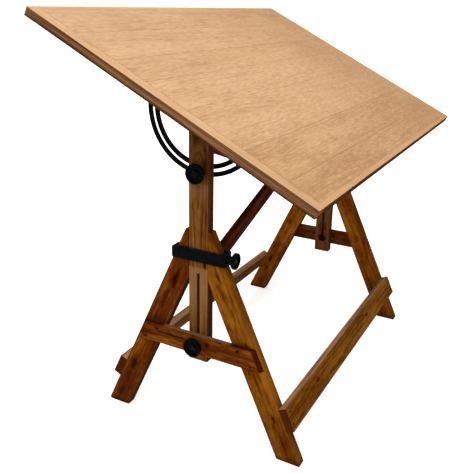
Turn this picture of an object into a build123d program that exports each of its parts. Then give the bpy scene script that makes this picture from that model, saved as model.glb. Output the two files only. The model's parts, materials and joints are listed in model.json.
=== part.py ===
from build123d import *
import os
from math import atan, cos, degrees, radians, sin

# Drafting table: a tilting board on two slotted posts that slide in two A-frames.
# Millimetres, +Z up, +X along the board, the user stands on the -Y side.
# The origin is on the floor, under the middle of the whole table.

# ---------------------------------------------------------------- driving dimensions
BOARD_LENGTH = 1524.0
BOARD_WIDTH = 952.5
BOARD_THICK = 25.0
BOARD_TILT = 26.5
END_LIP = 38.0
LONG_LIP = 17.0
PLANK_WIDTHS = (85.0, 135.0, 185.0, 135.0, 110.0, 140.0)

PIVOT_Z = 1040.0
PIVOT_BELOW_BOARD = 36.0
PIVOT_FROM_LOW_EDGE = 469.0

FRAME_HALF = 553.0
LEG_THICK = 28.5
LEG_SLOPE = 0.461
FOOT_OUTER = 361.3
FOOT_INNER = 280.3
HEAD_TOP = 690.0
HEAD_GAP = 33.0
FOOT_ROUND = 6.0

POST_WIDTH = 65.0
POST_THICK = 31.7
POST_BOTTOM = 258.5
SLOT_WIDTH = 9.0
SLOT_TOP = 553.6

RAIL_THICK = 16.0
RAIL_LOW = 289.0
RAIL_HIGH = 352.3
RAIL_BEVEL = 9.0

STRETCHER_THICK = 25.8
STRETCHER_START = 118.6
STRETCHER_END = 193.6
STRETCHER_HALF = 555.0

BRACE_DEPTH = 46.0
BRACE_THICK = 20.0
BRACE_FRONT = 31.0
BRACE_MID_Z = 757.5
BRACE_SLOPE = 0.3625

RING_OUTER = 193.0
RING_INNER = 155.5
RING_SLOT = 174.5
RING_THICK = 5.0
RING_SLOT_ANGLE = 61.0
RING_BAR_LOW = 12.0
EAR_RADIUS = 15.0
EAR_BOSS = 7.0
EAR_BOSS_RADIUS = 12.5

BATTEN_WIDTH = 70.0
BATTEN_THICK = 22.0
BATTEN_LENGTH = 900.0
BATTEN_END_SLOPE = 25.0
BATTEN_END_THICK = 8.0

BAND_LOW = 592.0
BAND_HIGH = 631.0
BAND_THICK = 5.5
BAND_BACK = 88.5
BAND_FRONT = 88.9
BAND_CORNER = 8.0
BAND_SHOULDER = 34.0
BAND_SHOULDER_DROP = 7.5
STRAP_LOW = 602.0
STRAP_HALF = 60.0
BOSS_RADIUS = 12.0
BOSS_LENGTH = 8.0
BOSS_ROUND = 2.0
SHOE_FACE = 87.2
SHOE_WIDTH = 20.0
SHOE_MARGIN = 5.0

BOLT = 8.0
BOLT_HOLE = 8.4
HEAD_RADIUS = 10.0
HEAD_THICK = 4.5
CROWN = 2.7
WASHER_RADIUS = 12.3
HEIGHT_WASHER_RADIUS = 16.0
WASHER_THICK = 2.0
PIVOT_BOLT = 9.5
PIVOT_WASHER_RADIUS = 11.0
PIVOT_PLAY = 0.15
PIVOT_END = 5.0
NUT_THICK = 7.0
NUT_RADIUS = 8.6
GAP = 0.3

KNOB_DIAMETER = 60.0
KNOB_NECK = 5.0
WHEEL_DIAMETER = 50.0
WHEEL_NECK = 2.0
WHEEL_GAP = 0.5
KNOB_BORE = 4.2
KNOB_COLLAR = 13.0
KNOB_CHEEK = 24.0
KNOB_CHEEK_HEIGHT = 6.5
KNOB_BACK = 9.5
KNOB_BACK_ROUND = 3.5
KNOB_DEPTH = 20.0
KNOB_RIM = 3.5
KNOB_RIM_ROUND = 1.5
KNOB_DISH = 23.5
KNOB_DISH_HEIGHT = 9.5
KNOB_HUB_FOOT = 10.5
KNOB_HUB = 9.0
KNOB_HUB_HEIGHT = 16.5
BOLT_END_SUNK = 2.0

SCREW_HEAD = 4.0
SCREW_SINK = 3.0
SCREW_SHANK = 2.0
SCREW_SLOT = 1.0
RAIL_SCREW = 38.0
RAIL_SCREW_SPOTS = ((146.0, 339.5), (189.0, 300.0))
STRETCHER_SCREW = 60.0
STRETCHER_SCREW_INSET = 20.0
STRETCHER_SCREW_ASIDE = 5.0
BRACE_SCREW = 65.0
BRACE_SCREW_RISE = 175.5
LAP_SCREW = 18.0
BATTEN_SCREW = 38.0
BATTEN_SCREW_ASIDE = 12.0
BATTEN_SCREW_INSET = 10.0
QUADRANT_SCREW = 28.0
QUADRANT_SCREW_SPOTS = (-174.0, -95.0, 95.0, 174.0)
HEAD_ROUND = 3.5
POST_FOOT_CHAMFER = 1.5
SLOT_SPARE = 4.3
BASE = (Align.CENTER, Align.CENTER, Align.MIN)

# ---------------------------------------------------------------- derived places
LEAN = degrees(atan(LEG_SLOPE))
POST_OUTER_X = FRAME_HALF - GAP
POST_INNER_X = POST_OUTER_X - POST_THICK
RING_X = POST_INNER_X - GAP
RING_INNER_X = RING_X - RING_THICK
BATTEN_X = RING_INNER_X - BATTEN_WIDTH
BRACE_MID_Y = -BRACE_FRONT + BRACE_THICK / 2
RAIL_X = FRAME_HALF + RAIL_THICK
MID_X = (POST_INNER_X + FRAME_HALF) / 2
RAIL_MID_Z = (RAIL_LOW + RAIL_HIGH) / 2
BAND_MID_Z = (BAND_LOW + BAND_HIGH) / 2
TILT_BOLT_Z = PIVOT_Z - RING_SLOT
BOARD_TOP = PIVOT_BELOW_BOARD + BOARD_THICK
BOARD_LOW = -PIVOT_FROM_LOW_EDGE
BOARD_HIGH = BOARD_LOW + BOARD_WIDTH
TILT = radians(BOARD_TILT)
LOW_EDGE_Y = BOARD_LOW * cos(TILT) - BOARD_TOP * sin(TILT)
HIGH_EDGE_Y = BOARD_HIGH * cos(TILT) - PIVOT_BELOW_BOARD * sin(TILT)
POST_Y = -(LOW_EDGE_Y + HIGH_EDGE_Y) / 2
EAR_INNER_X = RING_INNER_X - EAR_BOSS
KNOB_REACH = GAP + KNOB_NECK + KNOB_HUB_HEIGHT - BOLT_END_SUNK
WHEEL_SCALE = WHEEL_DIAMETER / KNOB_DIAMETER
WHEEL_HUB = WHEEL_NECK + KNOB_HUB_HEIGHT * WHEEL_SCALE
PLANK_HALF = BOARD_LENGTH / 2 - END_LIP
BATTEN_LOW = PIVOT_BELOW_BOARD - BATTEN_THICK
BATTEN_MIDDLE = (BOARD_LOW + BOARD_HIGH) / 2
BAND_OUT_Y = -BAND_FRONT - BAND_THICK
WHEEL_Y = BAND_OUT_Y - BOSS_LENGTH - WHEEL_GAP
BOARD_PLACE = Pos(0, 0, PIVOT_Z) * Rot(BOARD_TILT, 0, 0)


# ---------------------------------------------------------------- helpers
def block(x, y, z):
    """A box between the given (low, high) pairs."""
    size = (x[1] - x[0], y[1] - y[0], z[1] - z[0])
    return Pos((x[0] + x[1]) / 2, (y[0] + y[1]) / 2, (z[0] + z[1]) / 2) * Box(*size)


def slab(points, x_low, x_high):
    """A flat piece with its outline in the YZ plane, from x_low to x_high."""
    outline = Plane.YZ.offset(x_low) * make_face(Polyline(*points, close=True))
    return extrude(outline, x_high - x_low)


def rod_x(radius, x_low, x_high, y, z):
    """A cylinder along X."""
    return Pos((x_low + x_high) / 2, y, z) * Rot(0, 90, 0) * Cylinder(radius, abs(x_high - x_low))


def rod_y(radius, y_low, y_high, x, z):
    """A cylinder along Y."""
    return Pos(x, (y_low + y_high) / 2, z) * Rot(90, 0, 0) * Cylinder(radius, abs(y_high - y_low))


def flip_x(piece):
    """The same piece on the other side of the table."""
    return mirror(piece, about=Plane.YZ)


def flip_y(piece):
    """The same piece in front instead of behind."""
    return mirror(piece, about=Plane.XZ)


def x_edges_near(piece, y, z, reach=1.0):
    """The edges along X that pass within reach of a point in the YZ plane."""
    found = piece.edges().filter_by(Axis.X)
    return [e for e in found if abs(e.center().Y - y) < reach and abs(e.center().Z - z) < reach]


def leg_outer(z):
    """Distance of a leg's outer edge from the middle of its frame, at height z."""
    return FOOT_OUTER - LEG_SLOPE * z


# ---------------------------------------------------------------- screws and bolts
def screw_blank(place, length):
    """Countersunk wood screw, its head level with the XY plane of place, pointing down its Z axis."""
    head = Pos(0, 0, -SCREW_SINK / 2) * Cone(SCREW_SHANK, SCREW_HEAD, SCREW_SINK)
    shank = Pos(0, 0, -(SCREW_SINK + length) / 2) * Cylinder(SCREW_SHANK, length - SCREW_SINK)
    return place * (head + shank)


def screw(place, length):
    """The same screw with its driver slot."""
    slot = Pos(0, 0, -SCREW_SLOT / 2) * Box(2 * SCREW_HEAD, SCREW_SLOT, SCREW_SLOT)
    return screw_blank(place, length) - place * slot


def cut_screws(piece, places, length):
    """Take the screws' own room out of a piece."""
    for place in places:
        piece -= screw_blank(place, length)
    return piece


def bolt_x(radius, head_x, end_x, y, z):
    """Round-headed bolt along X: the head sits inside head_x and the shank runs out to end_x."""
    head = rod_x(HEAD_RADIUS, head_x - HEAD_THICK, head_x, y, z)
    crown = head.edges().filter_by(GeomType.CIRCLE).sort_by(Axis.X)[0]
    head = fillet(crown, CROWN)
    return head + rod_x(radius, head_x, end_x, y, z)


def washer_x(bore, x, y, z, radius=WASHER_RADIUS):
    """Washer along X whose outer side is at x."""
    return rod_x(radius, x - WASHER_THICK, x, y, z) - rod_x(bore, x - WASHER_THICK, x, y, z)


# ---------------------------------------------------------------- standing frame
def rail_screws():
    """Places of the right rail's screws, two into each leg."""
    spots = [(side * y, z) for side in (-1, 1) for y, z in RAIL_SCREW_SPOTS]
    return [Pos(RAIL_X, y, z) * Rot(0, 90, 0) for y, z in spots]


def on_leg_edge(along, out):
    """Point (y, z) at a distance along a back leg from the floor, and out from its outer edge."""
    y = FOOT_OUTER - along * sin(radians(LEAN)) + out * cos(radians(LEAN))
    z = along * cos(radians(LEAN)) + out * sin(radians(LEAN))
    return (y, z)


def stretcher_screws():
    """Places of the back stretcher's screws in the right leg."""
    low = (STRETCHER_START + STRETCHER_SCREW_INSET, STRETCHER_SCREW_ASIDE)
    high = (STRETCHER_END - STRETCHER_SCREW_INSET, -STRETCHER_SCREW_ASIDE)
    places = []
    for along, aside in (low, high):
        y, z = on_leg_edge(along, STRETCHER_THICK)
        places.append(Pos(FRAME_HALF - LEG_THICK / 2 + aside, y, z) * Rot(LEAN - 90, 0, 0))
    return places


def leg():
    """Back leg of the right frame: level at the foot, upright against the post at the head."""
    meet = (FOOT_INNER - HEAD_GAP) / LEG_SLOPE
    points = [
        (FOOT_INNER, 0),
        (FOOT_OUTER, 0),
        (leg_outer(HEAD_TOP), HEAD_TOP),
        (HEAD_GAP, HEAD_TOP),
        (HEAD_GAP, meet),
    ]
    piece = slab(points, FRAME_HALF - LEG_THICK, FRAME_HALF)
    feet = x_edges_near(piece, FOOT_INNER, 0) + x_edges_near(piece, FOOT_OUTER, 0)
    piece = fillet(feet, FOOT_ROUND)
    piece = fillet(x_edges_near(piece, leg_outer(HEAD_TOP), HEAD_TOP), HEAD_ROUND)
    piece = cut_screws(piece, rail_screws(), RAIL_SCREW)
    return cut_screws(piece, stretcher_screws(), STRETCHER_SCREW)


def rail_outline(x, short):
    """The rail's outline at x, its sloping ends pulled in by short."""
    low, high = leg_outer(RAIL_LOW) - short, leg_outer(RAIL_HIGH) - short
    points = [(-low, RAIL_LOW), (low, RAIL_LOW), (high, RAIL_HIGH), (-high, RAIL_HIGH)]
    return Plane.YZ.offset(x) * make_face(Polyline(*points, close=True))


def cross_rail():
    """Rail on the outer face of the right frame, its ends along the legs' slope and bevelled."""
    piece = loft([rail_outline(FRAME_HALF, 0), rail_outline(RAIL_X, RAIL_BEVEL)], ruled=True)
    piece -= rod_x(BOLT_HOLE / 2, FRAME_HALF, RAIL_X, 0, RAIL_MID_Z)
    return cut_screws(piece, rail_screws(), RAIL_SCREW)


def stretcher():
    """Long rail on the back legs' outer edges, joining the two frames."""
    points = [
        on_leg_edge(STRETCHER_START, 0),
        on_leg_edge(STRETCHER_START, STRETCHER_THICK),
        on_leg_edge(STRETCHER_END, STRETCHER_THICK),
        on_leg_edge(STRETCHER_END, 0),
    ]
    piece = slab(points, -STRETCHER_HALF, STRETCHER_HALF)
    piece = cut_screws(piece, stretcher_screws(), STRETCHER_SCREW)
    return flip_x(cut_screws(flip_x(piece), stretcher_screws(), STRETCHER_SCREW))


def band_shoulder():
    """What slopes off the band's top edge towards its back end."""
    start = BAND_BACK + BAND_THICK - BAND_SHOULDER
    end = BAND_BACK + 2 * BAND_THICK
    points = [(start, BAND_HIGH), (end, BAND_HIGH - BAND_SHOULDER_DROP), (end, BAND_HIGH)]
    return slab(points, POST_INNER_X - 2 * BAND_THICK, FRAME_HALF + 2 * BAND_THICK)


def clamp_band():
    """Iron yoke round the leg heads and the post, with a boss for the clamp screw in front."""
    inside_x = (POST_INNER_X - GAP, FRAME_HALF + GAP)
    outside_x = (inside_x[0] - BAND_THICK, inside_x[1] + BAND_THICK)
    loop = block(outside_x, (BAND_OUT_Y, BAND_BACK + BAND_THICK), (BAND_LOW, BAND_HIGH))
    loop = fillet(loop.edges().filter_by(Axis.Z), BAND_CORNER)
    loop -= block(inside_x, (-BAND_FRONT, BAND_BACK), (BAND_LOW, BAND_HIGH))
    loop -= block((outside_x[0], inside_x[0]), (-STRAP_HALF, STRAP_HALF), (BAND_LOW, STRAP_LOW))
    loop -= band_shoulder()
    boss = rod_y(BOSS_RADIUS, BAND_OUT_Y - BOSS_LENGTH, BAND_OUT_Y, MID_X, BAND_MID_Z)
    boss = fillet(boss.edges().filter_by(GeomType.CIRCLE).sort_by(Axis.Y)[0], BOSS_ROUND)
    hole = rod_y(BOLT_HOLE / 2, BAND_OUT_Y - BOSS_LENGTH, -BAND_FRONT, MID_X, BAND_MID_Z)
    return loop + boss - hole


def clamp_shoe():
    """Iron wedge that carries the clamp screw's thrust to the sloping front leg."""
    low, high = BAND_LOW + SHOE_MARGIN, BAND_HIGH - SHOE_MARGIN
    points = [
        (-leg_outer(low), low),
        (-leg_outer(high), high),
        (-SHOE_FACE, high),
        (-SHOE_FACE, low),
    ]
    return slab(points, MID_X - SHOE_WIDTH / 2, MID_X + SHOE_WIDTH / 2)


def height_bolt():
    """Bolt through the post's slot and the cross rail."""
    head_x = POST_INNER_X - GAP - WASHER_THICK
    return bolt_x(BOLT / 2, head_x, RAIL_X + KNOB_REACH, 0, RAIL_MID_Z)


def height_washer():
    return washer_x(BOLT_HOLE / 2, POST_INNER_X - GAP, 0, RAIL_MID_Z, radius=HEIGHT_WASHER_RADIUS)


# ---------------------------------------------------------------- rising part
def brace_blank(slope):
    """One diagonal of the cross brace, before the lap is cut."""
    lean = atan(slope)
    rise = BRACE_DEPTH / 2 / cos(lean)
    half = POST_INNER_X
    points = [
        (-half, BRACE_MID_Z - slope * half - rise),
        (half, BRACE_MID_Z + slope * half - rise),
        (half, BRACE_MID_Z + slope * half + rise),
        (-half, BRACE_MID_Z - slope * half + rise),
    ]
    outline = Plane.XZ.offset(BRACE_FRONT) * make_face(Polyline(*points, close=True))
    return extrude(outline, -BRACE_THICK)


def brace_screws():
    """Places of the screws that hold both diagonals at the right post."""
    heights = (BRACE_MID_Z - BRACE_SCREW_RISE, BRACE_MID_Z + BRACE_SCREW_RISE)
    return [Pos(POST_OUTER_X, BRACE_MID_Y, z) * Rot(0, 90, 0) for z in heights]


def lap_screw():
    """Place of the screw through the lap, from the front."""
    return Pos(0, -BRACE_FRONT, BRACE_MID_Z) * Rot(90, 0, 0)


def brace(slope, keeps_front):
    """A finished diagonal: half of its thickness is cut away where the two cross."""
    piece = brace_blank(slope)
    lap = brace_blank(slope) & brace_blank(-slope)
    half = (BRACE_MID_Y, 0) if keeps_front else (-2 * BRACE_FRONT, BRACE_MID_Y)
    piece -= lap & block((-FRAME_HALF, FRAME_HALF), half, (0, PIVOT_Z))
    piece = cut_screws(piece, [lap_screw()], LAP_SCREW)
    piece = cut_screws(piece, brace_screws(), BRACE_SCREW)
    return flip_x(cut_screws(flip_x(piece), brace_screws(), BRACE_SCREW))


def post():
    """Right post: slotted below, round on top about the board's pivot."""
    half = POST_WIDTH / 2
    shaft = block((POST_INNER_X, POST_OUTER_X), (-half, half), (POST_BOTTOM, PIVOT_Z))
    shaft = chamfer(shaft.faces().sort_by(Axis.Z)[0].edges(), POST_FOOT_CHAMFER)
    shaft += rod_x(half, POST_INNER_X, POST_OUTER_X, 0, PIVOT_Z)
    low, high = RAIL_MID_Z - SLOT_SPARE, SLOT_TOP - SLOT_WIDTH / 2
    across = (POST_INNER_X, POST_OUTER_X)
    shaft -= block(across, (-SLOT_WIDTH / 2, SLOT_WIDTH / 2), (low, high))
    for z in (low, high):
        shaft -= rod_x(SLOT_WIDTH / 2, *across, 0, z)
    shaft -= rod_x(BOLT_HOLE / 2, *across, 0, TILT_BOLT_Z)
    shaft -= rod_x(PIVOT_BOLT / 2, *across, 0, PIVOT_Z)
    return cut_screws(shaft, brace_screws(), BRACE_SCREW)


def tilt_bolt():
    """Bolt through the quadrant's slot and the post."""
    head_x = RING_INNER_X - GAP - WASHER_THICK
    return bolt_x(BOLT / 2, head_x, POST_OUTER_X + KNOB_REACH, 0, TILT_BOLT_Z)


def tilt_washer():
    return washer_x(BOLT_HOLE / 2, RING_INNER_X - GAP, 0, TILT_BOLT_Z)


def pivot_bolt():
    """Hinge bolt: its head is on the post's outer face, its nut inside the quadrant's ear."""
    head = rod_x(HEAD_RADIUS, POST_OUTER_X, POST_OUTER_X + HEAD_THICK, 0, PIVOT_Z)
    head = fillet(head.edges().filter_by(GeomType.CIRCLE).sort_by(Axis.X)[-1], CROWN)
    return head + rod_x(PIVOT_BOLT / 2, EAR_INNER_X - NUT_THICK - PIVOT_END, POST_OUTER_X, 0, PIVOT_Z)


def pivot_washer():
    return washer_x(PIVOT_BOLT / 2, EAR_INNER_X - GAP, 0, PIVOT_Z, radius=PIVOT_WASHER_RADIUS)


def pivot_nut():
    """Hexagon nut that keeps the quadrant on its pivot."""
    outer = EAR_INNER_X - GAP - WASHER_THICK
    outline = Plane.YZ.offset(outer - NUT_THICK) * (RegularPolygon(NUT_RADIUS, 6) - Circle(PIVOT_BOLT / 2))
    return Pos(0, 0, PIVOT_Z) * extrude(outline, NUT_THICK)


# ---------------------------------------------------------------- board, in its own frame
# Y runs up the slope and Z out of the board, from the pivot.
def planks():
    """The glued boards, from the low edge up."""
    y = BOARD_LOW + LONG_LIP
    last = BOARD_WIDTH - 2 * LONG_LIP - sum(PLANK_WIDTHS)
    pieces = []
    for width in PLANK_WIDTHS + (last,):
        pieces.append(block((-PLANK_HALF, PLANK_HALF), (y, y + width), (PIVOT_BELOW_BOARD, BOARD_TOP)))
        y += width
    return pieces


def lippings():
    """Edge strips: the ends run the whole depth, the long ones lie between them."""
    depth = (PIVOT_BELOW_BOARD, BOARD_TOP)
    end = block((PLANK_HALF, BOARD_LENGTH / 2), (BOARD_LOW, BOARD_HIGH), depth)
    low = block((-PLANK_HALF, PLANK_HALF), (BOARD_LOW, BOARD_LOW + LONG_LIP), depth)
    high = block((-PLANK_HALF, PLANK_HALF), (BOARD_HIGH - LONG_LIP, BOARD_HIGH), depth)
    return {"left": flip_x(end), "right": end, "front": low, "back": high}


def plank_middles():
    """Middle of each plank up the slope."""
    return [piece.center().Y for piece in planks()]


def batten_screws():
    """Places of the screws up through the right batten, one in each plank."""
    x = (BATTEN_X + RING_INNER_X) / 2
    places = []
    for number, y in enumerate(plank_middles()):
        aside = BATTEN_SCREW_ASIDE if number % 2 else -BATTEN_SCREW_ASIDE
        if abs(y - BATTEN_MIDDLE) < BATTEN_LENGTH / 2 - BATTEN_SCREW_INSET:
            places.append(Pos(x + aside, y, BATTEN_LOW) * Rot(180, 0, 0))
    return places


def quadrant_screws():
    """Places of the screws through the right quadrant's bar into the batten's side."""
    z = (BATTEN_LOW + PIVOT_BELOW_BOARD) / 2
    return [Pos(RING_X, y, z) * Rot(0, 90, 0) for y in QUADRANT_SCREW_SPOTS]


def batten():
    """Cross bar under the planks, with sloping ends."""
    low, high = BATTEN_MIDDLE - BATTEN_LENGTH / 2, BATTEN_MIDDLE + BATTEN_LENGTH / 2
    points = [
        (low, PIVOT_BELOW_BOARD),
        (low, PIVOT_BELOW_BOARD - BATTEN_END_THICK),
        (low + BATTEN_END_SLOPE, BATTEN_LOW),
        (high - BATTEN_END_SLOPE, BATTEN_LOW),
        (high, PIVOT_BELOW_BOARD - BATTEN_END_THICK),
        (high, PIVOT_BELOW_BOARD),
    ]
    piece = slab(points, BATTEN_X, RING_INNER_X)
    piece = cut_screws(piece, batten_screws(), BATTEN_SCREW)
    return cut_screws(piece, quadrant_screws(), QUADRANT_SCREW)


def quadrant():
    """Slotted iron half ring with a straight bar and, in the middle, the pivot's ear."""
    wide = 2 * RING_OUTER
    below = Pos(0, -RING_OUTER) * Rectangle(wide, wide)
    outline = (Circle(RING_OUTER) & below) - Circle(RING_INNER)
    for side in (-1, 1):
        y = side * (RING_OUTER + RING_INNER) / 2
        outline += Pos(y, PIVOT_BELOW_BOARD / 2) * Rectangle(RING_OUTER - RING_INNER, PIVOT_BELOW_BOARD)
    bar = PIVOT_BELOW_BOARD - RING_BAR_LOW
    outline += Pos(0, RING_BAR_LOW + bar / 2) * Rectangle(wide, bar)
    outline += Circle(EAR_RADIUS) + Pos(0, EAR_RADIUS) * Rectangle(2 * EAR_RADIUS, 2 * EAR_RADIUS)
    turn = radians(RING_SLOT_ANGLE)
    reach = wide / cos(turn)
    side_y, side_z = reach * sin(turn), -reach * cos(turn)
    wedge = make_face(Polyline((0, 0), (side_y, side_z), (-side_y, side_z), close=True))
    slot = (Circle(RING_SLOT + SLOT_WIDTH / 2) - Circle(RING_SLOT - SLOT_WIDTH / 2)) & wedge
    for side in (-1, 1):
        slot += Pos(side * RING_SLOT * sin(turn), -RING_SLOT * cos(turn)) * Circle(SLOT_WIDTH / 2)
    plate = extrude(Plane.YZ.offset(RING_INNER_X) * (outline - slot), RING_THICK)
    plate += rod_x(EAR_BOSS_RADIUS, EAR_INNER_X, RING_INNER_X, 0, 0)
    plate -= rod_x(PIVOT_BOLT / 2 + PIVOT_PLAY, EAR_INNER_X, RING_X, 0, 0)
    return cut_screws(plate, quadrant_screws(), QUADRANT_SCREW)


# ---------------------------------------------------------------- hand knobs
def knob(diameter, neck):
    """Round iron hand knob on the XY plane: neck, cup with a thin rim, and a hub in the cup."""
    size = diameter / KNOB_DIAMETER
    rim = diameter / 2
    back, front = neck + KNOB_BACK * size, neck + KNOB_DEPTH * size
    dish, hub = neck + KNOB_DISH_HEIGHT * size, neck + KNOB_HUB_HEIGHT * size
    profile = [
        (KNOB_BORE, 0),
        (KNOB_COLLAR * size, 0),
        (KNOB_COLLAR * size, neck),
        (KNOB_CHEEK * size, neck + KNOB_CHEEK_HEIGHT * size),
        (rim, back),
        (rim, front),
        (rim - KNOB_RIM, front),
        (KNOB_DISH * size, dish),
        (KNOB_HUB_FOOT * size, dish),
        (KNOB_HUB * size, hub),
        (KNOB_BORE, hub),
    ]
    outline = make_face(Plane.XZ * Polyline(*profile, close=True))
    piece = revolve(outline, Axis.Z)
    piece = fillet(circles_at(piece, front), KNOB_RIM_ROUND)
    return fillet(circles_at(piece, back), KNOB_BACK_ROUND)


def circles_at(piece, z):
    """The round edges of a turned piece at height z."""
    return [e for e in piece.edges().filter_by(GeomType.CIRCLE) if abs(e.center().Z - z) < GAP / 2]


def knob_x(face_x, z):
    """Knob with its neck against a face that looks along +X."""
    return Pos(face_x + GAP, 0, z) * Rot(0, 90, 0) * knob(KNOB_DIAMETER, KNOB_NECK)


def clamp_wheel():
    """A smaller knob in front of the clamp band's boss, tight on the clamp screw."""
    sleeve = Cylinder(KNOB_BORE, WHEEL_HUB, align=BASE) - Cylinder(BOLT / 2, WHEEL_HUB, align=BASE)
    wheel = knob(WHEEL_DIAMETER, WHEEL_NECK) + sleeve
    return Pos(MID_X, WHEEL_Y, BAND_MID_Z) * Rot(90, 0, 0) * wheel


def clamp_screw():
    """Screw through the band's boss, from the shoe to the wheel's hub."""
    end = WHEEL_Y - WHEEL_HUB + BOLT_END_SUNK / 2
    return rod_y(BOLT / 2, end, -SHOE_FACE - GAP, MID_X, BAND_MID_Z)


# ---------------------------------------------------------------- files
def save(name, *pieces):
    """Write one named piece, or a group of identical ones, in the table's own frame."""
    placed = [Pos(0, POST_Y, 0) * piece for piece in pieces]
    solids = [solid for piece in placed for solid in piece.solids()]
    shape = solids[0] if len(solids) == 1 else Compound(solids)
    export_step(shape, os.path.join("parts", name + ".step"))


def save_pair(name, piece):
    """Write a piece of the right side, and its mirror image for the left side."""
    save("right_" + name, piece)
    save("left_" + name, flip_x(piece))


def both_sides(places, length, place=Pos(0, 0, 0)):
    """Screws at the right side's places, and their mirror images."""
    right = [place * screw(spot, length) for spot in places]
    return right + [flip_x(piece) for piece in right]


def main():
    os.makedirs("parts", exist_ok=True)
    back_leg = leg()
    save_pair("back_leg", back_leg)
    save_pair("front_leg", flip_y(back_leg))
    save_pair("cross_rail", cross_rail())
    save("back_stretcher", stretcher())
    save("front_stretcher", flip_y(stretcher()))
    save_pair("clamp_band", clamp_band())
    save_pair("clamp_shoe", clamp_shoe())
    save_pair("height_bolt", height_bolt())
    save_pair("height_washer", height_washer())
    save("rail_screws", *both_sides(rail_screws(), RAIL_SCREW))
    back = both_sides(stretcher_screws(), STRETCHER_SCREW)
    save("stretcher_screws", *back, *[flip_y(piece) for piece in back])

    save_pair("post", post())
    save("rising_brace", brace(BRACE_SLOPE, keeps_front=True))
    save("falling_brace", brace(-BRACE_SLOPE, keeps_front=False))
    save("brace_screws", *both_sides(brace_screws(), BRACE_SCREW), screw(lap_screw(), LAP_SCREW))
    save_pair("tilt_bolt", tilt_bolt())
    save_pair("tilt_washer", tilt_washer())
    save_pair("pivot_bolt", pivot_bolt())
    save_pair("pivot_washer", pivot_washer())
    save_pair("pivot_nut", pivot_nut())

    for number, plank in enumerate(planks(), start=1):
        plank = cut_screws(plank, batten_screws(), BATTEN_SCREW)
        plank = flip_x(cut_screws(flip_x(plank), batten_screws(), BATTEN_SCREW))
        save(f"plank_{number}", BOARD_PLACE * plank)
    for side, lipping in lippings().items():
        save(side + "_lipping", BOARD_PLACE * lipping)
    save_pair("batten", BOARD_PLACE * batten())
    save_pair("quadrant", BOARD_PLACE * quadrant())
    save("batten_screws", *both_sides(batten_screws(), BATTEN_SCREW, BOARD_PLACE))
    save("quadrant_screws", *both_sides(quadrant_screws(), QUADRANT_SCREW, BOARD_PLACE))

    save_pair("tilt_knob", knob_x(POST_OUTER_X, TILT_BOLT_Z))
    save_pair("height_knob", knob_x(RAIL_X, RAIL_MID_Z))
    save_pair("clamp_wheel", clamp_wheel())
    save_pair("clamp_screw", clamp_screw())


main()
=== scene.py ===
import json
import math
import random

import bpy
from mathutils import Matrix, Vector


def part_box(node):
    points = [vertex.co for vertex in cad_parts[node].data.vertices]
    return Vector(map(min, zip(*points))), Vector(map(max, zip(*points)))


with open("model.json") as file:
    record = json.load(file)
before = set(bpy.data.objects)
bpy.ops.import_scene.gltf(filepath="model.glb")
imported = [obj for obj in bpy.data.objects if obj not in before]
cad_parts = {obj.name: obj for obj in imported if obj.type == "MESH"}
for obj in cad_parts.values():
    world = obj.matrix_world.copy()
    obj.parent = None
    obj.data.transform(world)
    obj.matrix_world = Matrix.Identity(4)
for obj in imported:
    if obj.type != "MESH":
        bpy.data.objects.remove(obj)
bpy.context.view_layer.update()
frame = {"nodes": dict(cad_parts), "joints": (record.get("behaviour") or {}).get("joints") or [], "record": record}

nodes = frame["nodes"]
SIDES = ("left", "right")

# ---------------------------------------------------------------- the frame's own places
BASE_Y = (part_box("left_post")[0].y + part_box("left_post")[1].y) / 2
mounts = {m["name"]: m for m in frame["record"]["mounts"]}
joints = {j["name"]: j for j in frame["joints"]}
BOARD_UP = Vector(mounts["drawing_surface"]["axis"]).normalized()
BOARD_TOP = Vector(mounts["drawing_surface"]["pos_m"])
SLOPE = Vector((0, BOARD_UP.z, -BOARD_UP.y))

# ---------------------------------------------------------------- camera
CAMERA_PLACE = Vector((-2.0439, BASE_Y - 0.9122, 1.3272))
CAMERA_YAW = math.radians(27.796)
CAMERA_PITCH = math.radians(-17.229)
CAMERA_ROLL = math.radians(1.167)
CAMERA_FOCAL = 48.02
CAMERA_SHIFT = -0.0781


def make_camera():
    """The camera at the photograph's viewing angle, aimed by yaw, pitch and roll."""
    ahead = Vector((
        math.cos(CAMERA_PITCH) * math.cos(CAMERA_YAW),
        math.cos(CAMERA_PITCH) * math.sin(CAMERA_YAW),
        math.sin(CAMERA_PITCH),
    ))
    level = ahead.cross(Vector((0, 0, 1))).normalized()
    upright = level.cross(ahead)
    right = level * math.cos(CAMERA_ROLL) + upright * math.sin(CAMERA_ROLL)
    up = upright * math.cos(CAMERA_ROLL) - level * math.sin(CAMERA_ROLL)
    data = bpy.data.cameras.new("camera")
    data.lens = CAMERA_FOCAL
    data.sensor_width = 36.0
    data.shift_y = CAMERA_SHIFT
    data.clip_end = 60.0
    camera = bpy.data.objects.new("camera", data)
    turn = Matrix((right, up, -ahead)).transposed()
    camera.matrix_world = Matrix.Translation(CAMERA_PLACE) @ turn.to_4x4()
    bpy.context.scene.collection.objects.link(camera)
    bpy.context.scene.camera = camera


# ---------------------------------------------------------------- light and floor
def soft_sun(name, towards, spread, strength, colour):
    """Even light from a wide patch of sky; towards is the way the light travels."""
    data = bpy.data.lights.new(name, "SUN")
    data.angle = math.radians(spread)
    data.energy = strength
    data.color = colour
    lamp = bpy.data.objects.new(name, data)
    lamp.rotation_euler = Vector(towards).to_track_quat("-Z", "Y").to_euler()
    bpy.context.scene.collection.objects.link(lamp)


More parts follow.
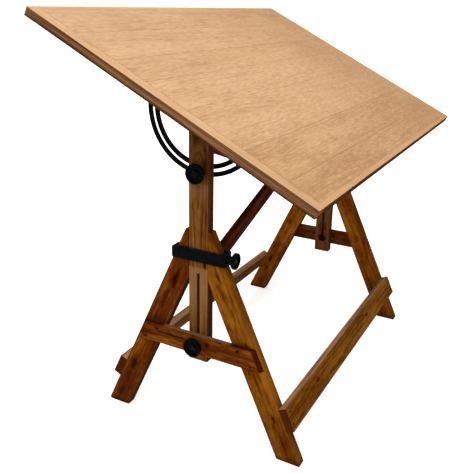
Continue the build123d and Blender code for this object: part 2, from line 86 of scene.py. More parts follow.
def make_light():
    """Soft studio light: a broad key above on the left, a weak fill, and a pale room."""
    soft_sun("key", (0.72, 0.10, -1.0), 50, 3.0, (1.0, 0.985, 0.965))
    soft_sun("fill", (0.30, 0.80, -0.7), 60, 0.30, (1.0, 0.98, 0.96))
    soft_sun("back", (-0.5, -0.9, -0.8), 60, 0.45, (0.96, 0.98, 1.0))
    world = bpy.data.worlds.new("studio")
    bpy.context.scene.world = world
    world.use_nodes = True
    tree = world.node_tree
    room = tree.nodes["Background"]
    room.inputs["Color"].default_value = (1.0, 1.0, 1.0, 1)
    room.inputs["Strength"].default_value = 0.30
    white = tree.nodes.new("ShaderNodeBackground")
    white.inputs["Color"].default_value = (1.0, 1.0, 1.0, 1)
    white.inputs["Strength"].default_value = 1.1
    path = tree.nodes.new("ShaderNodeLightPath")
    mix = tree.nodes.new("ShaderNodeMixShader")
    tree.links.new(path.outputs["Is Camera Ray"], mix.inputs[0])
    tree.links.new(room.outputs[0], mix.inputs[1])
    tree.links.new(white.outputs[0], mix.inputs[2])
    tree.links.new(mix.outputs[0], tree.nodes["World Output"].inputs["Surface"])


FLOOR_REACH = 30.0


def make_floor():
    mesh = bpy.data.meshes.new("floor")
    r = FLOOR_REACH
    mesh.from_pydata([(-r, -r, 0), (r, -r, 0), (r, r, 0), (-r, r, 0)], [], [(0, 1, 2, 3)])
    floor = bpy.data.objects.new("floor", mesh)
    bpy.context.scene.collection.objects.link(floor)
    material = bpy.data.materials.new("floor_paint")
    material.use_nodes = True
    shader = material.node_tree.nodes["Principled BSDF"]
    shader.inputs["Base Color"].default_value = (0.90, 0.90, 0.895, 1)
    shader.inputs["Roughness"].default_value = 0.9
    shader.inputs["Emission Color"].default_value = (1, 1, 1, 1)
    shader.inputs["Emission Strength"].default_value = 0.62
    mesh.materials.append(material)


# ---------------------------------------------------------------- node helper
class Tree:
    """Short calls for building one material's nodes."""

    def __init__(self, name):
        self.material = bpy.data.materials.new(name)
        self.material.use_nodes = True
        self.nodes = self.material.node_tree.nodes
        self.links = self.material.node_tree.links
        self.shader = self.nodes["Principled BSDF"]

    def put(self, socket, value):
        if hasattr(value, "is_output"):
            self.links.new(value, socket)
        else:
            socket.default_value = value

    def node(self, kind, **settings):
        made = self.nodes.new("ShaderNode" + kind)
        for name, value in settings.items():
            setattr(made, name, value)
        return made

    def math(self, operation, a, b=0.0, c=0.0, clamp=False):
        made = self.node("Math", operation=operation, use_clamp=clamp)
        for socket, value in zip(made.inputs, (a, b, c)):
            self.put(socket, value)
        return made.outputs[0]

    def vector(self, operation, a, b=(0, 0, 0), out=0):
        made = self.node("VectorMath", operation=operation)
        self.put(made.inputs[0], a)
        self.put(made.inputs[1], b)
        return made.outputs[out]

    def place(self, vector, location=(0, 0, 0), rotation=(0, 0, 0), scale=(1, 1, 1)):
        made = self.node("Mapping")
        self.put(made.inputs["Vector"], vector)
        made.inputs["Location"].default_value = location
        made.inputs["Rotation"].default_value = rotation
        made.inputs["Scale"].default_value = scale
        return made.outputs[0]

    def noise(self, vector, scale=1.0, detail=2.0, rough=0.5, twist=0.0, out="Fac"):
        made = self.node("TexNoise")
        self.put(made.inputs["Vector"], vector)
        made.inputs["Scale"].default_value = scale
        made.inputs["Detail"].default_value = detail
        made.inputs["Roughness"].default_value = rough
        made.inputs["Distortion"].default_value = twist
        return made.outputs[out]

    def split(self, vector):
        made = self.node("SeparateXYZ")
        self.put(made.inputs[0], vector)
        return made.outputs

    def join(self, x, y, z):
        made = self.node("CombineXYZ")
        for socket, value in zip(made.inputs, (x, y, z)):
            self.put(socket, value)
        return made.outputs[0]

    def ramp(self, value, stops, smooth=False):
        made = self.node("ValToRGB")
        band = made.color_ramp
        band.interpolation = "EASE" if smooth else "LINEAR"
        for place, level in stops[2:]:
            band.elements.new(place)
        for element, (place, level) in zip(band.elements, sorted(stops)):
            element.position = place
            element.color = (*level, 1) if isinstance(level, tuple) else (level, level, level, 1)
        self.put(made.inputs[0], value)
        return made.outputs[0]

    def step(self, value, low, high):
        """0 below low, 1 above high and smooth between; high may be the smaller."""
        made = self.node("MapRange", interpolation_type="SMOOTHSTEP")
        self.put(made.inputs["Value"], value)
        flip = high < low
        made.inputs["From Min"].default_value = min(low, high)
        made.inputs["From Max"].default_value = max(low, high)
        made.inputs["To Min"].default_value = 1.0 if flip else 0.0
        made.inputs["To Max"].default_value = 0.0 if flip else 1.0
        return made.outputs[0]

    def mix(self, amount, a, b, blend="MIX"):
        made = self.node("Mix", data_type="RGBA", blend_type=blend)
        self.put(made.inputs[0], amount)
        self.put(made.inputs[6], (*a, 1) if isinstance(a, tuple) else a)
        self.put(made.inputs[7], (*b, 1) if isinstance(b, tuple) else b)
        return made.outputs[2]

    def bump(self, height, distance, strength=1.0, under=None):
        made = self.node("Bump")
        self.put(made.inputs["Height"], height)
        made.inputs["Distance"].default_value = distance
        made.inputs["Strength"].default_value = strength
        if under is not None:
            self.put(made.inputs["Normal"], under)
        return made.outputs[0]

    def edge(self, radius, low, high):
        """1 on a piece's sharp edges and 0 on its flats."""
        soft = self.node("Bevel", samples=6)
        soft.inputs["Radius"].default_value = radius
        hard = self.node("NewGeometry").outputs["Normal"]
        same = self.vector("DOT_PRODUCT", soft.outputs[0], hard, out=1)
        return self.step(same, high, low)


# ---------------------------------------------------------------- a piece's own directions
def sharp_edges(mesh):
    """Vectors of the edges where two faces meet at a clear angle."""
    faces_at = {}
    for face in mesh.polygons:
        for key in face.edge_keys:
            a, b = (tuple(round(c, 5) for c in mesh.vertices[i].co) for i in key)
            faces_at.setdefault(tuple(sorted((a, b))), []).append(face.normal.copy())
    found = []
    for (a, b), normals in faces_at.items():
        if len(normals) == 2 and normals[0].dot(normals[1]) < 0.9:
            found.append(Vector(b) - Vector(a))
    return found


def piece_axes(name):
    """(along, across, through) of a board-like node, and its middle."""
    mesh = nodes[name].data
    along = max(sharp_edges(mesh), key=lambda e: e.length).normalized()
    areas = {}
    for face in mesh.polygons:
        key = tuple(round(abs(c), 2) for c in face.normal)
        kept = areas.setdefault(key, [0.0, face.normal.copy()])
        kept[0] += face.area
    flat = [n for area, n in sorted(areas.values(), key=lambda a: -a[0]) if abs(n.dot(along)) < 0.2]
    through = (flat[0] - along * flat[0].dot(along)).normalized()
    across = through.cross(along)
    low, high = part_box(name)
    return along, across, through, (low + high) / 2


# ---------------------------------------------------------------- wood
def wood_space(t, name):
    """Coordinates along, across and through a piece, in metres from its middle, and how to place a point."""
    along, across, through, middle = piece_axes(name)
    turn = Matrix((along, across, through))
    where = t.node("TexCoord").outputs["Object"]

    def local(x, y, z):
        return turn @ (Vector((x, BASE_Y + y, z)) - middle)

    return t.place(where, -(turn @ middle), turn.to_euler()), local


def grain(t, here, style, dice, knots, pith):
    """Growth rings about the log's pith, bent round the knots: the late wood and the knots' cores."""
    shift = (dice.uniform(-9, 9), dice.uniform(-9, 9), dice.uniform(-9, 9))
    u, v, w = t.split(here)
    sway = t.noise(t.place(here, shift, scale=(1.6, 7, 7)), 1.0, 2.0, out="Color")
    sway_u, sway_v, sway_w = t.split(t.vector("SUBTRACT", sway, (0.5, 0.5, 0.5)))
    off_v = t.math("MULTIPLY_ADD", sway_v, style["sway"], t.math("SUBTRACT", v, pith[0]))
    off_w = t.math("MULTIPLY_ADD", sway_w, style["sway"], t.math("SUBTRACT", w, pith[1]))
    radius = t.vector("LENGTH", t.join(0.0, off_v, off_w), out=1)
    radius = t.math("MULTIPLY_ADD", u, dice.choice((-1, 1)) * style["taper"], radius)
    core = 0.0
    for at_u, at_v, size in knots:
        away = t.join(t.math("MULTIPLY", t.math("SUBTRACT", u, at_u), 0.45), t.math("SUBTRACT", v, at_v), 0.0)
        reach = t.vector("LENGTH", away, out=1)
        pull = t.math("MULTIPLY", t.math("POWER", t.math("DIVIDE", reach, size * 1.5), 2.0), -1.0)
        radius = t.math("MULTIPLY_ADD", t.math("EXPONENT", pull), size * 1.2, radius)
        core = t.math("MAXIMUM", core, t.step(reach, size * 1.0, size * 0.35))
    uneven = t.noise(t.join(t.math("MULTIPLY", radius, 45.0), shift[0], 0.0), 1.0, 1.0)
    rings = t.math("MULTIPLY_ADD", uneven, 1.6, t.math("DIVIDE", radius, style["ring"]))
    late = t.ramp(t.math("FRACT", rings), [(0.0, 0.05), (0.45, 0.22), (0.80, 0.75), (0.93, 1.0), (1.0, 0.05)])
    fade = t.step(t.noise(t.place(here, shift, scale=(3.0, 30, 30)), 1.0, 2.0), 0.30, 0.68)
    return shift, t.math("MULTIPLY", late, t.math("MULTIPLY_ADD", fade, 0.6, 0.4)), core


def stains(t, here, shift, marks, local):
    """Dark patches that run along the grain.

    marks: (x, y, z, half length, half width, strength), y from the posts' plane.
    """
    ragged = t.noise(t.place(here, shift, scale=(14, 60, 60)), 1.0, 4.0, 0.6)
    u, v, w = t.split(here)
    total = 0.0
    for x, y, z, long, wide, strength in marks:
        at_u, at_v, at_w = local(x, y, z)
        away = t.join(
            t.math("DIVIDE", t.math("SUBTRACT", u, at_u), long),
            t.math("DIVIDE", t.math("SUBTRACT", v, at_v), wide),
            t.math("DIVIDE", t.math("SUBTRACT", w, at_w), STAIN_DEPTH),
        )
        reach = t.math("ADD", t.vector("LENGTH", away, out=1), t.math("MULTIPLY_ADD", ragged, 2.4, -1.2))
        total = t.math("MAXIMUM", total, t.math("MULTIPLY", t.step(reach, 1.15, 0.1), strength, clamp=True))
    return total


def wood(name, style, seed, knots=(), marks=(), pith=(0.02, -0.07)):
    """Solid wood with growth rings, fibres, pores, cloudy stain, dark marks and dark or worn edges."""
    dice = random.Random(seed)
    t = Tree("wood_" + name)
    here, local = wood_space(t, name)
    flat_knots = [(*local(x, y, z)[:2], size) for x, y, z, size in knots]
    shift, late, core = grain(t, here, style, dice, flat_knots, pith)

    fibre = t.noise(t.place(here, shift, scale=(14, 420, 420)), 1.0, 3.0, 0.65)
    streak = t.noise(t.place(here, shift, scale=(2.2, 70, 70)), 1.0, 3.0, 0.6)
    fleck = t.noise(t.place(here, shift, scale=(38, 150, 150)), 1.0, 3.0, 0.6)
    cloud = t.noise(t.place(here, shift, scale=(6.5, 17, 17)), 1.0, 4.0, 0.6)
    pore = t.step(t.noise(t.place(here, shift, scale=(24, 900, 900)), 1.0, 2.0, 0.7), 0.60, 0.72)
    tone = t.math("MULTIPLY_ADD", late, style["contrast"], style["depth"])
    tone = t.math("MULTIPLY_ADD", t.math("SUBTRACT", streak, 0.5), style["streak"], tone)
    tone = t.math("MULTIPLY_ADD", t.math("SUBTRACT", fibre, 0.5), style["fibre"], tone)
    tone = t.math("MULTIPLY_ADD", t.math("SUBTRACT", fleck, 0.5), style["fleck"], tone)
    tone = t.math("MULTIPLY_ADD", t.math("SUBTRACT", cloud, 0.5), style["cloud"], tone)
    tone = t.math("ADD", tone, dice.uniform(-0.03, 0.03), clamp=True)
    colour = t.ramp(tone, [(0.0, style["light"]), (1.0, style["dark"]), (0.5, style["middle"])])
    colour = t.mix(t.math("MULTIPLY", pore, style["pores"]), colour, style["deep"])
    if knots:
        colour = t.mix(t.math("MULTIPLY", core, 0.85), colour, style["deep"])
    if marks:
        colour = t.mix(stains(t, here, shift, marks, local), colour, style["deep"])

    broken = t.noise(t.place(here, shift, scale=(25, 60, 60)), 1.0, 3.0)
    gather = t.math("MULTIPLY", t.edge(0.0045, 0.85, 0.99), t.step(broken, 0.30, 0.50))
    colour = t.mix(t.math("MULTIPLY", gather, style["edges"]), colour, style["dark"])
    worn = t.math("MULTIPLY", t.edge(0.0016, 0.78, 0.96), t.step(broken, 0.52, 0.66))
    colour = t.mix(t.math("MULTIPLY", worn, style["worn"]), colour, style["light"])
    return t, here, colour, late, fibre


def finish_wood(t, style, colour, late, fibre):
    """Varnish, small relief along the grain, and the colour."""
    t.put(t.shader.inputs["Base Color"], colour)
    rough = t.math("MULTIPLY_ADD", fibre, 0.22, style["rough"] - 0.11)
    t.put(t.shader.inputs["Roughness"], rough)
    relief = t.math("MULTIPLY_ADD", late, 0.6, fibre)
    t.put(t.shader.inputs["Normal"], t.bump(relief, style["relief"], 0.6))
    t.shader.inputs["Specular IOR Level"].default_value = style["gloss"]
    t.shader.inputs["Specular Tint"].default_value = style["sheen"]
    return t.material


def dress(name, material):
    """Give a CAD node one material."""
    mesh = nodes[name].data
    mesh.materials.clear()
    mesh.materials.append(material)


STAIN_DEPTH = 0.05
AMBER_SHEEN = (1.0, 0.55, 0.22, 1)
PALE_SHEEN = (1.0, 0.85, 0.68, 1)
FRAME_WOOD = {
    "light": (0.215, 0.078, 0.0055), "middle": (0.084, 0.0210, 0.0012), "dark": (0.032, 0.0052, 0.0010),
    "deep": (0.013, 0.0015, 0.0010), "ring": 0.0075, "sway": 0.030, "taper": 0.020, "depth": 0.26,
    "contrast": 0.24, "streak": 0.70, "fibre": 0.30, "fleck": 0.85, "cloud": 1.45, "pores": 0.35,
    "edges": 0.75, "worn": 0.5, "rough": 0.50, "relief": 0.0006, "gloss": 0.002, "sheen": AMBER_SHEEN,
}
DARK_LEG = dict(FRAME_WOOD, light=(0.190, 0.058, 0.0050), middle=(0.074, 0.0160, 0.0011), depth=0.42)
RED_LEG = dict(FRAME_WOOD, light=(0.270, 0.088, 0.0060), middle=(0.110, 0.0245, 0.0013), depth=0.30)
RAIL_WOOD = dict(
    FRAME_WOOD, light=(0.185, 0.058, 0.0055), middle=(0.078, 0.0172, 0.0014), depth=0.36, contrast=0.30,
)
POST_WOOD = dict(
    FRAME_WOOD, light=(0.175, 0.076, 0.0170), middle=(0.088, 0.0290, 0.0048), dark=(0.030, 0.0075, 0.0014),
    depth=0.20, contrast=0.62, cloud=0.7, ring=0.0105, sway=0.045, fleck=0.7,
)
# painted shade: a darker copy of the frame wood for the braces, which lie in the board's shade
SHADED_BRACE_WOOD = dict(
    FRAME_WOOD, light=(0.085, 0.0185, 0.0040), middle=(0.032, 0.0060, 0.0014), dark=(0.011, 0.0018, 0.0010),
    deep=(0.005, 0.001, 0.001), worn=0.35, depth=0.25,
)
BATTEN_WOOD = dict(FRAME_WOOD, light=(0.16, 0.070, 0.020), middle=(0.085, 0.032, 0.008), edges=0.4)
PLANK_WOOD = {
    "light": (0.730, 0.460, 0.250), "middle": (0.600, 0.350, 0.175), "dark": (0.400, 0.196, 0.084),
    "deep": (0.180, 0.072, 0.026), "ring": 0.0085, "sway": 0.030, "taper": 0.022, "depth": 0.12,
    "contrast": 0.34, "streak": 0.60, "fibre": 0.30, "fleck": 0.75, "cloud": 1.05, "pores": 0.16,
    "edges": 0.6, "worn": 0.2, "rough": 0.42, "relief": 0.0003, "gloss": 0.14, "sheen": PALE_SHEEN,
}
LIP_TOP = dict(PLANK_WOOD, light=(0.70, 0.44, 0.24), middle=(0.60, 0.352, 0.178), contrast=0.4, edges=0.5, gloss=0.0)


def soften(name, width, segments=2):
    """A bevel modifier and smooth shading on a CAD node."""
    bevel = nodes[name].modifiers.new("soft_edges", "BEVEL")
    bevel.width = width
    bevel.segments = segments
    bevel.limit_method = "ANGLE"
    bevel.angle_limit = math.radians(35)
    bevel.harden_normals = True
    for face in nodes[name].data.polygons:
        face.use_smooth = True


def facing(t, direction, low=0.5, high=0.8):
    """1 on faces that look along direction."""
    normal = t.node("TexCoord").outputs["Normal"]
    return t.step(t.vector("DOT_PRODUCT", normal, direction, out=1), low, high)


def height(t):
    """Height above the floor at rest."""
    return t.split(t.node("TexCoord").outputs["Object"])[2]


def make_leg(side, part, seed):
    """A leg: amber wood with long dark patches, painted shade on its narrow faces and a darker foot."""
    name = side + "_" + part
    x = -LEG_FACE if side == "left" else LEG_FACE
    way = -1 if part == "front_leg" else 1
    if part == "front_leg":
        knots = [(x, -0.265, 0.135, 0.008)]
        marks = [
            (x, -0.066, 0.557, 0.034, 0.010, 0.85), (x, -0.085, 0.50, 0.030, 0.007, 0.5),
            (x, -0.165, 0.352, 0.020, 0.020, 0.7), (x, -0.215, 0.225, 0.050, 0.008, 0.55),
            (x, -0.30, 0.06, 0.030, 0.008, 0.5),
        ]
    else:
        knots = [(x, 0.256, 0.160, 0.011)]
        marks = [
            (x, 0.084, 0.516, 0.050, 0.016, 1.0), (x, 0.120, 0.450, 0.060, 0.010, 0.6),
            (x, 0.150, 0.365, 0.022, 0.030, 0.6), (x, 0.250, 0.175, 0.030, 0.016, 0.9),
            (x, 0.275, 0.115, 0.035, 0.012, 0.7), (x, 0.305, 0.045, 0.028, 0.016, 0.7),
        ]
    style = RED_LEG if side == "right" else FRAME_WOOD if part == "front_leg" else DARK_LEG
    t, here, colour, late, fibre = wood(name, style, seed, knots, marks)
    # painted shade: the narrow faces that look down and inwards are darkened
    narrow = facing(t, (0, -0.91 * way, -0.42), 0.6, 0.9)
    colour = t.mix(t.math("MULTIPLY", narrow, 0.88), colour, style["deep"])
    colour = t.mix(t.math("MULTIPLY", t.step(height(t), 0.022, 0.004), 0.6), colour, style["deep"])
    dim = t.math("MAXIMUM", t.step(height(t), 0.640, 0.690), t.step(height(t), 0.300, 0.100))
    colour = t.mix(t.math("MULTIPLY", dim, 0.35), colour, style["dark"])
    dress(name, finish_wood(t, style, colour, late, fibre))
    soften(name, 0.0016)


def make_cross_rail(side, seed):
    """A cross rail: painted dark red shade on its top where it lies on the legs and on its ends, greyer between them,
    with a long dark streak.
    """
    name = side + "_cross_rail"
    x = -RAIL_FACE if side == "left" else RAIL_FACE
    marks = [
        (x, 0.100, 0.328, 0.075, 0.0045, 1.0), (x, 0.060, 0.320, 0.050, 0.0035, 0.7),
        (x, -0.040, 0.327, 0.016, 0.012, 0.95), (x, -0.086, 0.350, 0.007, 0.004, 1.0),
        (x, 0.170, 0.345, 0.040, 0.007, 0.75), (x, -0.190, 0.293, 0.022, 0.004, 0.9),
        (x, 0.175, 0.325, 0.075, 0.040, 0.45), (x, 0.205, 0.315, 0.030, 0.012, 0.7),
        (x, 0.146, 0.339, 0.011, 0.006, 1.5), (x, 0.189, 0.300, 0.011, 0.006, 1.5),
        (x, -0.146, 0.339, 0.011, 0.006, 1.5), (x, -0.189, 0.300, 0.011, 0.006, 1.5),
    ]
    t, here, colour, late, fibre = wood(name, RAIL_WOOD, seed, (), marks)
    y = t.math("ABSOLUTE", t.math("SUBTRACT", t.split(t.node("TexCoord").outputs["Object"])[1], BASE_Y))
    top = facing(t, (0, 0, 1))
    on_leg = t.step(y, 0.105, 0.130)
    # painted shade: dark red on the top face where the rail lies on the legs
    colour = t.mix(t.math("MULTIPLY", t.math("MULTIPLY", top, on_leg), 0.9), colour, SHADE_RED)
    colour = t.mix(t.math("MULTIPLY", t.math("SUBTRACT", top, t.math("MULTIPLY", top, on_leg)), 0.7), colour, RAIL_PALE)
    outward = (1 if side == "right" else -1, 0, 0)
    # painted shade: dark red on the rail's end faces
    end = t.math("MULTIPLY", t.step(y, 0.165, 0.185), facing(t, outward, 0.97, 0.90))
    colour = t.mix(t.math("MULTIPLY", end, 0.9), colour, SHADE_RED)
    dress(name, finish_wood(t, RAIL_WOOD, colour, late, fibre))
    soften(name, 0.0014)


def dark_ring_place(side):
    """The middle of a dark ring drawn on the post's inner face, a little above the height bolt's washer."""
    low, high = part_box(side + "_height_washer")
    return ((low.x + high.x) / 2, (low.y + high.y) / 2, (low.z + high.z) / 2 + DARK_RING_RISE)


def make_post(side, seed):
    """A post: brown above the clamp, paler below it, with arched grain at the top and painted shade on its narrow
    faces.
    """
    name = side + "_post"
    x = -LEG_FACE if side == "left" else LEG_FACE
    knots = [(x, 0.008, 0.975, 0.020), (x, -0.022, 0.945, 0.004)]
    marks = [
        (x, -0.022, 0.885, 0.060, 0.010, 0.9), (x, -0.026, 0.72, 0.05, 0.004, 0.5),
        (x, -0.021, 0.582, 0.014, 0.006, 1.6), (x, -0.021, 0.933, 0.012, 0.006, 1.4),
    ]
    t, here, colour, late, fibre = wood(name, POST_WOOD, seed, knots, marks, pith=(0.004, -0.03))
    z = height(t)
    ragged = t.noise(t.place(here, (seed, 0, 0), scale=(10, 90, 90)), 1.0, 3.0)
    level = t.math("MULTIPLY_ADD", ragged, 0.016, t.math("SUBTRACT", z, 0.008))
    below = t.math("MULTIPLY", t.step(level, 0.576, 0.566), t.step(level, 0.36, 0.52))
    colour = t.mix(t.math("MULTIPLY", below, 0.62), colour, POST_PALE)
    patch = t.math("MULTIPLY", t.step(level, 0.836, 0.826), t.step(level, 0.760, 0.815))
    colour = t.mix(t.math("MULTIPLY", patch, 0.40), colour, POST_PALE)
    dusk = t.math("MULTIPLY", t.step(level, 0.845, 0.875), 0.45)
    colour = t.mix(dusk, colour, POST_DUSK)
    inner = facing(t, (1 if side == "left" else -1, 0, 0))
    from_mark = t.vector("DISTANCE", t.node("TexCoord").outputs["Object"], dark_ring_place(side), out=1)
    ring = t.math("MULTIPLY", t.step(from_mark, 0.0105, 0.0130), t.step(from_mark, 0.0185, 0.0165))
    colour = t.mix(t.math("MULTIPLY", t.math("MULTIPLY", ring, inner), 0.85), colour, POST_WOOD["deep"])
    colour = t.mix(t.math("MULTIPLY", inner, 0.45), colour, POST_RED)
    # painted shade: the narrow faces are dark red-brown
    narrow = t.math("MAXIMUM", facing(t, (0, -1, 0)), facing(t, (0, 1, 0)))
    stripe = t.noise(t.place(here, (0, seed, 0), scale=(1.5, 200, 120)), 1.0, 2.0)
    red = t.ramp(stripe, [(0.32, (0.016, 0.0035, 0.0014)), (0.66, (0.085, 0.022, 0.0080))])
    colour = t.mix(t.math("MULTIPLY", narrow, 0.9), colour, red)
    dress(name, finish_wood(t, POST_WOOD, colour, late, fibre))
    soften(name, 0.0012)


def make_stretcher(name, seed):
    """A long rail with a paler upper edge, painted light from above in patches, and painted shade on its end faces."""
    knots = [(0.21, 0, 0, 0.010), (-0.32, 0, 0, 0.007)]
    spots = [(x, 0.30 if name.startswith("back") else -0.30, 0.15, size) for x, _, _, size in knots]
    style = FRONT_STRETCHER if name.startswith("front") else BACK_STRETCHER
    t, here, colour, late, fibre = wood(name, style, seed, spots, ())
    upper = facing(t, (0, 0, 1), 0.75, 0.88)
    # painted light: the upper face is paler in patches, as if lit from above
    top_light = t.noise(t.place(here, (seed, 0, 0), scale=(5, 90, 90)), 1.0, 3.0)
    top_light = t.math("MULTIPLY_ADD", t.step(top_light, 0.35, 0.60), 0.45, 0.35)
    colour = t.mix(t.math("MULTIPLY", upper, top_light), colour, TOP_LIGHT_PALE)
    # painted shade: the end faces are dark red
    ends = t.math("MAXIMUM", facing(t, (-1, 0, 0)), facing(t, (1, 0, 0)))
    colour = t.mix(t.math("MULTIPLY", ends, 0.85), colour, SHADE_RED)
    dress(name, finish_wood(t, style, colour, late, fibre))
    soften(name, 0.0016)


FRONT_STRETCHER = dict(
    FRAME_WOOD, light=(0.210, 0.082, 0.0060), middle=(0.105, 0.0330, 0.0020), depth=0.20, contrast=0.50, sway=0.05,
)
BACK_STRETCHER = dict(FRONT_STRETCHER, light=(0.150, 0.060, 0.0100), middle=(0.065, 0.0220, 0.0040), depth=0.30)
# pale colour of the painted light on the stretchers' upper faces
TOP_LIGHT_PALE = (0.380, 0.225, 0.1200)
DARK_RING_RISE = 0.054
POST_RED = (0.085, 0.0200, 0.0060)
# dark red of the painted shade on the rail tops over the legs and on end faces
SHADE_RED = (0.030, 0.0045, 0.0020)
RAIL_PALE = (0.150, 0.080, 0.040)
POST_PALE = (0.185, 0.092, 0.036)
POST_DUSK = (0.052, 0.018, 0.0075)
LEG_FACE = (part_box("right_front_leg")[1]).x
RAIL_FACE = (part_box("right_cross_rail")[1]).x


def make_frame_wood():
    for number, side in enumerate(SIDES):
        make_leg(side, "front_leg", 11 + number * 2)
        make_leg(side, "back_leg", 12 + number * 2)
        make_cross_rail(side, 51 + number)
        make_post(side, 71 + number)
        name = side + "_batten"
        t, here, colour, late, fibre = wood(name, BATTEN_WOOD, 91 + number)
        dress(name, finish_wood(t, BATTEN_WOOD, colour, late, fibre))
        soften(name, 0.0012)
    make_stretcher("front_stretcher", 30)
    make_stretcher("back_stretcher", 31)
    for number, name in enumerate(("rising_brace", "falling_brace")):
        t, here, colour, late, fibre = wood(name, SHADED_BRACE_WOOD, 35 + number)
        dress(name, finish_wood(t, SHADED_BRACE_WOOD, colour, late, fibre))
        soften(name, 0.0010)


# ---------------------------------------------------------------- board
BOARD_DEPTH = 0.025
PLANK_TONES = (0.52, 0.50, 0.17, 0.10, 0.20, 0.12, 0.19)
SEAM_DEPTH = (0.10, 0.36, 0.12, 0.08, 0.28, 0.10, 0.14)
PLANK_DASH = (0.420, 0.210, 0.090)
PLANK_FLECK = (0.780, 0.520, 0.300)


def board_place(t):
    """Metres along X, and up the slope from the board's middle."""
    where = t.node("TexCoord").outputs["Object"]
    up = t.vector("DOT_PRODUCT", t.vector("SUBTRACT", where, tuple(BOARD_TOP)), tuple(SLOPE), out=1)
    return t.split(where)[0], up


def board_weather(t, colour, style):
    """What runs across all the planks: darker to the right and to the user, with yellower clouds."""
    x, up = board_place(t)
    where = t.node("TexCoord").outputs["Object"]
    drift = t.noise(t.place(where, (4, 1, 0)), 3.0, 3.0)
    right = t.step(t.math("MULTIPLY_ADD", drift, 0.5, t.math("SUBTRACT", x, 0.25)), -0.15, 0.70)
    colour = t.mix(t.math("MULTIPLY", right, 0.55), colour, style["dark"])
    low = t.step(t.math("MULTIPLY_ADD", drift, 0.16, t.math("SUBTRACT", up, 0.08)), -0.12, -0.40)
    colour = t.mix(t.math("MULTIPLY", low, 0.30), colour, style["dark"])
    clouds = t.step(t.noise(t.place(where, (1, 7, 3), scale=(2.2, 5, 5)), 1.0, 3.0), 0.50, 0.70)
    colour = t.mix(t.math("MULTIPLY", clouds, 0.45), colour, BOARD_YELLOW)
    pale = t.step(t.noise(t.place(where, (9, 2, 5), scale=(1.3, 6, 6)), 1.0, 4.0), 0.54, 0.74)
    return t.mix(t.math("MULTIPLY", pale, 0.35), colour, style["light"])


BOARD_YELLOW = (0.630, 0.410, 0.190)
# colour of the painted shade on the board's underside
UNDERSIDE_SHADE = (0.270, 0.140, 0.0600)


def half_width(name):
    """Half of a plank's width up the slope."""
    low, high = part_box(name)
    return (high.y - low.y - abs(BOARD_UP.y) * BOARD_DEPTH) / (2 * BOARD_UP.z)


def plank_half(name):
    """Half of a plank's length."""
    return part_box(name)[1].x


def make_plank(number, name):
    """One plank: long rays and streaks, a dark joint at its edges and a tone of its own."""
    style = dict(PLANK_WOOD, depth=PLANK_TONES[number])
    pith = (0.01 * (-1) ** number, -0.05 - 0.02 * (number % 3))
    marks = [(-0.62, 0.24, 1.27, 0.060, 0.006, 0.55)] if number == 6 else ()
    t, here, colour, late, fibre = wood(name, style, 50 + number, marks=marks, pith=pith)
    colour = board_weather(t, colour, style)
    up = board_place(t)[1]
    along = t.join(t.math("MULTIPLY", t.split(here)[0], 1.6), t.math("MULTIPLY", up, 150.0), float(number))
    ray = t.step(t.noise(along, 1.0, 2.0, 0.5), 0.56, 0.72)
    colour = t.mix(t.math("MULTIPLY", ray, 0.40), colour, style["dark"])
    shine = t.step(t.noise(t.vector("ADD", along, (7, 3, 0)), 1.0, 3.0, 0.6), 0.56, 0.74)
    colour = t.mix(t.math("MULTIPLY", shine, 0.45), colour, style["light"])
    dash = t.join(t.math("MULTIPLY", t.split(here)[0], 26.0), t.math("MULTIPLY", up, 210.0), 3.0)
    dashes = t.noise(dash, 1.0, 3.0, 0.7)
    colour = t.mix(t.math("MULTIPLY", t.step(dashes, 0.51, 0.63), 0.50), colour, PLANK_DASH)
    colour = t.mix(t.math("MULTIPLY", t.step(dashes, 0.46, 0.34), 0.50), colour, PLANK_FLECK)
    seam = t.step(t.math("ABSOLUTE", t.split(here)[1]), half_width(name) - 0.0022, half_width(name) - 0.0006)
    colour = t.mix(t.math("MULTIPLY", seam, SEAM_DEPTH[number]), colour, style["deep"])
    from_end = t.math("SUBTRACT", plank_half(name), t.math("ABSOLUTE", board_place(t)[0]))
    dotted = t.step(t.noise(t.vector("MULTIPLY", t.node("TexCoord").outputs["Object"], (9, 160, 160)), 1.0, 1.0), 0.40, 0.55)
    joint = t.math("MULTIPLY", t.step(from_end, 0.0040, 0.0010), dotted)
    colour = t.mix(t.math("MULTIPLY", joint, 0.60), colour, style["deep"])
    # painted shade: the board's underside is darkened
    under = facing(t, tuple(-BOARD_UP))
    colour = t.mix(t.math("MULTIPLY", under, 0.75), colour, UNDERSIDE_SHADE)
    dress(name, finish_wood(t, style, colour, late, fibre))
    soften(name, 0.0003, 1)


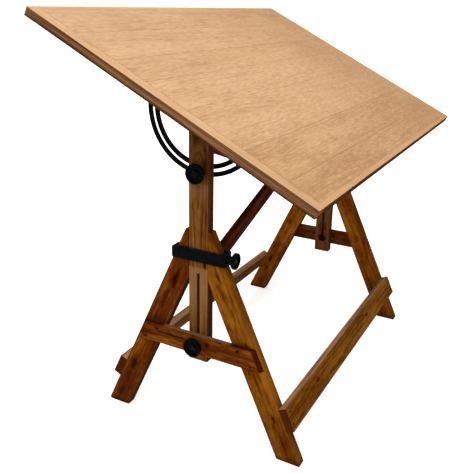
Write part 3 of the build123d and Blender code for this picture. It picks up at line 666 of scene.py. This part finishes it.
def make_lipping(number, side):
    """An edge strip: pale on top, and on its sides brown with a dark upper line and a lighter middle."""
    name = side + "_lipping"
    t, here, colour, late, fibre = wood(name, LIP_TOP, 70 + number)
    colour = board_weather(t, colour, LIP_TOP)
    where = t.node("TexCoord").outputs["Object"]
    out = t.vector("DOT_PRODUCT", t.vector("SUBTRACT", where, tuple(BOARD_TOP)), tuple(BOARD_UP), out=1)
    wobble = t.noise(t.place(here, (3, number, 0), scale=(2.0, 60, 60)), 1.0, 3.0, 0.6)
    level = t.math("MULTIPLY_ADD", wobble, 0.006, t.math("SUBTRACT", out, 0.003))
    stripe = t.ramp(t.math("MULTIPLY_ADD", level, 40.0, 1.0), [
        (0.0, (0.030, 0.010, 0.0030)), (1.0, (0.030, 0.010, 0.0030)), (0.20, (0.060, 0.024, 0.0080)),
        (0.42, (0.190, 0.088, 0.0380)), (0.60, (0.160, 0.070, 0.0280)), (0.80, (0.080, 0.031, 0.0100)),
        (0.92, (0.150, 0.070, 0.0300)),
    ])
    streaks = t.noise(t.place(here, (3, number, 0), scale=(4, 260, 260)), 1.0, 3.0, 0.6)
    stripe = t.mix(t.math("MULTIPLY", t.step(streaks, 0.44, 0.60), 0.70), stripe, (0.036, 0.013, 0.0040))
    pale = t.noise(t.place(here, (8, number, 4), scale=(5, 300, 300)), 1.0, 3.0, 0.6)
    stripe = t.mix(t.math("MULTIPLY", t.step(pale, 0.54, 0.66), 0.40), stripe, (0.240, 0.120, 0.0550))
    if side == "front":
        stripe = t.mix(0.80, stripe, (0.030, 0.012, 0.0040))
    colour = t.mix(facing(t, tuple(BOARD_UP), 0.75, 0.95), stripe, colour)
    dress(name, finish_wood(t, LIP_TOP, colour, late, fibre))
    soften(name, 0.0008)


def make_board_wood():
    for number, name in enumerate(sorted(n for n in nodes if n.startswith("plank_"))):
        make_plank(number, name)
    for number, side in enumerate(("left", "right", "front", "back")):
        make_lipping(number, side)


# ---------------------------------------------------------------- iron
def iron(name, rough, worn, seed, rounding=0.0014):
    """Black painted casting: fine lumps, rubbed bare edges that are also a painted highlight on the rims, and a little
    dust.
    """
    t = Tree(name)
    where = t.node("TexCoord").outputs["Object"]
    lumps = t.noise(where, 420.0, 4.0, 0.6)
    broad = t.noise(where, 38.0 + seed, 3.0)
    colour = t.ramp(broad, [(0.3, (0.0008, 0.0011, 0.0013)), (0.75, (0.0028, 0.0035, 0.0038))])
    dust = t.step(t.noise(where, 90.0, 4.0, 0.7), 0.58, 0.80)
    colour = t.mix(t.math("MULTIPLY", dust, 0.25), colour, (0.011, 0.009, 0.007))
    edge = t.edge(rounding, 0.80, 0.97)
    rub = t.step(t.noise(where, 130.0, 3.0), 0.44, 0.64)
    # rubbed bare edges, partly real wear and partly a painted highlight on the rims
    bare_and_glint = t.math("MULTIPLY", t.math("MULTIPLY", edge, rub), worn)
    colour = t.mix(bare_and_glint, colour, (0.170, 0.165, 0.172))
    t.put(t.shader.inputs["Base Color"], colour)
    t.put(t.shader.inputs["Metallic"], t.math("MULTIPLY", bare_and_glint, 0.7))
    t.put(t.shader.inputs["Roughness"], t.math("MULTIPLY_ADD", broad, 0.3, rough - 0.15))
    t.put(t.shader.inputs["Normal"], t.bump(lumps, 0.0004, 0.5))
    t.shader.inputs["Specular IOR Level"].default_value = 0.012
    return t.material


def make_iron():
    casting = iron("iron_casting", 0.34, 0.45, 0, 0.0024)
    plate = iron("iron_plate", 0.42, 0.35, 3)
    steel = iron("steel_bolts", 0.34, 0.9, 6)
    screws = iron("steel_screws", 0.40, 0.3, 9)
    for name in nodes:
        if name.endswith(("_knob", "_wheel")):
            dress(name, casting)
        elif name.endswith(("_band", "_shoe", "_quadrant")):
            dress(name, plate)
            soften(name, 0.0006)
        elif name.endswith("_screws"):
            dress(name, screws)
        elif name.endswith(("_bolt", "_washer", "_nut", "_screw")):
            dress(name, steel)


make_camera()
make_light()
make_floor()
make_frame_wood()
make_board_wood()
make_iron()
bpy.context.scene.view_settings.view_transform = "Standard"
